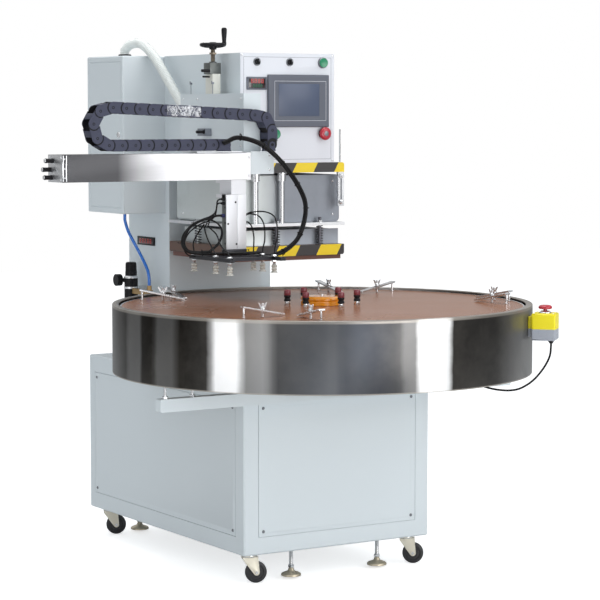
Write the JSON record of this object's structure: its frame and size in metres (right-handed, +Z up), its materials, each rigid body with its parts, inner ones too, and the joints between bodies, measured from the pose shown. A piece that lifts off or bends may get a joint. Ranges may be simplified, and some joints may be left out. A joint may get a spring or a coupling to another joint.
{
  "type": "rotary table high frequency blister sealing machine",
  "caption": "Blister pack sealing machine with a turntable in a steel guard drum, a high-frequency press on a C-frame, and a pick-up arm on a sliding carriage.",
  "frame": {"origin": "on the floor, at the middle of the machine's bounding box seen from above", "axes": "+X to the operator's right along the base cabinet's front, +Y from the operator to the rear, +Z up"},
  "size_m": [1.5, 1.533, 1.63],
  "materials": {
    "aluminium": "clear anodised",
    "amber_plastic": "translucent amber acrylic",
    "black_plastic": "black moulded plastic",
    "black_rubber": "matt black",
    "blue_hose": "blue polyurethane hose",
    "chain_plastic": "blue-black moulded nylon",
    "galvanised": "dull galvanised sheet",
    "green_plastic": "green push button",
    "hazard_paint": "black and yellow striped edge",
    "light_paint": "semi-gloss powder coat, pale grey",
    "red_plastic": "red mushroom cap",
    "screen_plastic": "dark grey frame with a glossy screen",
    "spring_steel": "blackened spring wire",
    "stainless_steel": "polished stainless sheet",
    "table_laminate": "brown laminated bakelite, satin",
    "white_hose": "white corrugated conduit",
    "yellow_plastic": "yellow cover on a grey box",
    "zinc_plated": "bright zinc plate"
  },
  "bodies": {
    "machine": {"base_cabinet": "light_paint", "left_side_panel": "light_paint", "front_panel": "light_paint", "front_support_arm": "light_paint", "drum_shell": "stainless_steel", "index_drive": "light_paint", "press_frame": "light_paint", "generator_cabinet": "light_paint", "control_panel": "light_paint", "touch_screen": "screen_plastic", "upper_press_plate": "hazard_paint", "adjust_post": "light_paint", "regulator_body": "aluminium", "white_conduit": "white_hose", "blue_air_hose": "blue_hose", "remote_stop_box": "yellow_plastic", "remote_stop_lead": "black_rubber"},
    "table": {"turntable_disc": "table_laminate", "distributor_hub": "amber_plastic"},
    "ram": {"coupler_housing": "galvanised", "mid_plate": "aluminium", "spring_front_left": "spring_steel", "spring_front_right": "spring_steel", "spring_left": "spring_steel", "spring_right": "spring_steel"},
    "platen": {"lower_platen": "hazard_paint"},
    "arm": {"arm_bracket": "light_paint", "beam": "stainless_steel", "drag_chain": "chain_plastic"},
    "carriage": {"carriage": "aluminium", "cable_loom": "black_rubber"},
    "pickup": {"suction_frame": "aluminium"},
    "handwheel": {"handwheel": "black_plastic"},
    "start_button": {"start_button": "green_plastic"},
    "reset_button": {"reset_button": "green_plastic"},
    "panel_stop_button": {"panel_stop_button": "red_plastic"},
    "remote_stop_button": {"remote_stop_button": "red_plastic"},
    "selector_left": {"selector_left": "black_plastic"},
    "selector_right": {"selector_right": "black_plastic"},
    "regulator_knob": {"regulator_knob": "black_plastic"},
    "clamp_left_front": {"clamp_left_front": "zinc_plated"},
    "clamp_left_rear": {"clamp_left_rear": "zinc_plated"},
    "clamp_front_left": {"clamp_front_left": "zinc_plated"},
    "clamp_front_right": {"clamp_front_right": "zinc_plated"},
    "clamp_rear_left": {"clamp_rear_left": "zinc_plated"},
    "clamp_rear_right": {"clamp_rear_right": "zinc_plated"},
    "clamp_right_front": {"clamp_right_front": "zinc_plated"},
    "clamp_right_rear": {"clamp_right_rear": "zinc_plated"},
    "caster_fork_front_left": {"caster_fork_front_left": "zinc_plated"},
    "caster_wheel_front_left": {"caster_wheel_front_left": "black_rubber"},
    "caster_fork_front_right": {"caster_fork_front_right": "zinc_plated"},
    "caster_wheel_front_right": {"caster_wheel_front_right": "black_rubber"},
    "caster_fork_rear_left": {"caster_fork_rear_left": "zinc_plated"},
    "caster_wheel_rear_left": {"caster_wheel_rear_left": "black_rubber"},
    "caster_fork_rear_right": {"caster_fork_rear_right": "zinc_plated"},
    "caster_wheel_rear_right": {"caster_wheel_rear_right": "black_rubber"},
    "levelling_foot_front_left": {"levelling_foot_front_left": "zinc_plated"},
    "levelling_foot_front_right": {"levelling_foot_front_right": "zinc_plated"},
    "levelling_foot_rear_left": {"levelling_foot_rear_left": "zinc_plated"},
    "levelling_foot_rear_right": {"levelling_foot_rear_right": "zinc_plated"}
  },
  "joints": [
    {"name": "table_turn", "type": "hinge", "parent": "machine", "child": "table", "pos_m": [0.125, -0.1415, 0.804], "axis": [0, 0, 1], "continuous": true},
    {"name": "press_stroke", "type": "slide", "parent": "machine", "child": "ram", "axis": [0, 0, 1], "range_m": [-0.07, 0]},
    {"name": "platen_float", "type": "slide", "parent": "ram", "child": "platen", "axis": [0, 0, 1], "range_m": [0, 0.01], "stiffness_N_per_m": 20000, "springref_m": -0.01, "deforming": ["spring_front_left", "spring_front_right", "spring_left", "spring_right"]},
    {"name": "arm_lift", "type": "slide", "parent": "machine", "child": "arm", "axis": [0, 0, 1], "range_m": [-0.025, 0.025], "deforming": ["white_conduit"]},
    {"name": "carriage_travel", "type": "slide", "parent": "arm", "child": "carriage", "axis": [1, 0, 0], "range_m": [-0.45, 0], "deforming": ["drag_chain"]},
    {"name": "pickup_lift", "type": "slide", "parent": "carriage", "child": "pickup", "axis": [0, 0, 1], "range_m": [-0.05, 0], "deforming": ["cable_loom"]},
    {"name": "handwheel_turn", "type": "hinge", "parent": "machine", "child": "handwheel", "pos_m": [-0.091, 0.134, 1.578], "axis": [0, 0, 1], "range_deg": [-1805, 1805]},
    {"name": "start_button_press", "type": "slide", "parent": "machine", "child": "start_button", "axis": [0, 1, 0], "range_m": [0, 0.003], "stiffness_N_per_m": 600, "springref_m": -0.002},
    {"name": "reset_button_press", "type": "slide", "parent": "machine", "child": "reset_button", "axis": [0, 1, 0], "range_m": [0, 0.003], "stiffness_N_per_m": 600, "springref_m": -0.002},
    {"name": "panel_stop_button_press", "type": "slide", "parent": "machine", "child": "panel_stop_button", "axis": [0, 1, 0], "range_m": [0, 0.004]},
    {"name": "remote_stop_button_press", "type": "slide", "parent": "machine", "child": "remote_stop_button", "axis": [0, 0, -1], "range_m": [0, 0.004]},
    {"name": "selector_left_turn", "type": "hinge", "parent": "machine", "child": "selector_left", "pos_m": [0.006, 0.0375, 1.527], "axis": [0, 1, 0], "range_deg": [-45, 45]},
    {"name": "selector_right_turn", "type": "hinge", "parent": "machine", "child": "selector_right", "pos_m": [0.121, 0.0375, 1.527], "axis": [0, 1, 0], "range_deg": [-45, 45]},
    {"name": "regulator_knob_turn", "type": "hinge", "parent": "machine", "child": "regulator_knob", "pos_m": [-0.1, 0.6605, 0.8503], "axis": [0, 0, 1], "range_deg": [-540, 540]},
    {"name": "clamp_left_front_swing", "type": "hinge", "parent": "table", "child": "clamp_left_front", "pos_m": [-0.21264, 0.23424, 0.804], "axis": [0, 0, 1], "range_deg": [-30, 15]},
    {"name": "clamp_left_rear_swing", "type": "hinge", "parent": "table", "child": "clamp_left_rear", "pos_m": [-0.14053, 0.29653, 0.804], "axis": [0, 0, 1], "range_deg": [-30, 30]},
    {"name": "clamp_front_left_swing", "type": "hinge", "parent": "table", "child": "clamp_front_left", "pos_m": [-0.24017, -0.40806, 0.804], "axis": [0, 0, 1], "range_deg": [-40, 40]},
    {"name": "clamp_front_right_swing", "type": "hinge", "parent": "table", "child": "clamp_front_right", "pos_m": [-0.15521, -0.52582, 0.804], "axis": [0, 0, 1], "range_deg": [-40, 40]},
    {"name": "clamp_rear_left_swing", "type": "hinge", "parent": "table", "child": "clamp_rear_left", "pos_m": [0.39632, 0.24955, 0.804], "axis": [0, 0, 1], "range_deg": [-45, 45]},
    {"name": "clamp_rear_right_swing", "type": "hinge", "parent": "table", "child": "clamp_rear_right", "pos_m": [0.51461, 0.14834, 0.804], "axis": [0, 0, 1], "range_deg": [-45, 45]},
    {"name": "clamp_right_front_swing", "type": "hinge", "parent": "table", "child": "clamp_right_front", "pos_m": [0.59307, -0.35885, 0.804], "axis": [0, 0, 1], "range_deg": [-20, 30]},
    {"name": "clamp_right_rear_swing", "type": "hinge", "parent": "table", "child": "clamp_right_rear", "pos_m": [0.66017, -0.27922, 0.804], "axis": [0, 0, 1], "range_deg": [-20, 8]},
    {"name": "caster_front_left_swivel", "type": "hinge", "parent": "machine", "child": "caster_fork_front_left", "pos_m": [-0.154, -0.1835, 0.09], "axis": [0, 0, 1], "continuous": true},
    {"name": "caster_front_left_roll", "type": "hinge", "parent": "caster_fork_front_left", "child": "caster_wheel_front_left", "pos_m": [-0.13521, -0.19034, 0.0325], "axis": [0.342, 0.9397, 0], "continuous": true},
    {"name": "caster_front_right_swivel", "type": "hinge", "parent": "machine", "child": "caster_fork_front_right", "pos_m": [0.404, -0.1835, 0.09], "axis": [0, 0, 1], "continuous": true},
    {"name": "caster_front_right_roll", "type": "hinge", "parent": "caster_fork_front_right", "child": "caster_wheel_front_right", "pos_m": [0.42038, -0.19497, 0.0325], "axis": [0.5736, 0.8192, 0], "continuous": true},
    {"name": "caster_rear_left_swivel", "type": "hinge", "parent": "machine", "child": "caster_fork_rear_left", "pos_m": [-0.154, 0.7165, 0.09], "axis": [0, 0, 1], "continuous": true},
    {"name": "caster_rear_left_roll", "type": "hinge", "parent": "caster_fork_rear_left", "child": "caster_wheel_rear_left", "pos_m": [-0.13587, 0.70805, 0.0325], "axis": [0.4226, 0.9063, 0], "continuous": true},
    {"name": "caster_rear_right_swivel", "type": "hinge", "parent": "machine", "child": "caster_fork_rear_right", "pos_m": [0.404, 0.7165, 0.09], "axis": [0, 0, 1], "continuous": true},
    {"name": "caster_rear_right_roll", "type": "hinge", "parent": "caster_fork_rear_right", "child": "caster_wheel_rear_right", "pos_m": [0.41932, 0.70364, 0.0325], "axis": [0.6428, 0.766, 0], "continuous": true},
    {"name": "levelling_foot_front_left_adjust", "type": "slide", "parent": "machine", "child": "levelling_foot_front_left", "axis": [0, 0, 1], "range_m": [-0.008, 0.02]},
    {"name": "levelling_foot_front_right_adjust", "type": "slide", "parent": "machine", "child": "levelling_foot_front_right", "axis": [0, 0, 1], "range_m": [-0.008, 0.02]},
    {"name": "levelling_foot_rear_left_adjust", "type": "slide", "parent": "machine", "child": "levelling_foot_rear_left", "axis": [0, 0, 1], "range_m": [-0.008, 0.02]},
    {"name": "levelling_foot_rear_right_adjust", "type": "slide", "parent": "machine", "child": "levelling_foot_rear_right", "axis": [0, 0, 1], "range_m": [-0.008, 0.02]}
  ],
  "couplings": [
    {"joint": "handwheel_turn", "follows": "arm_lift", "rad_per_m": 1256.6}
  ]
}
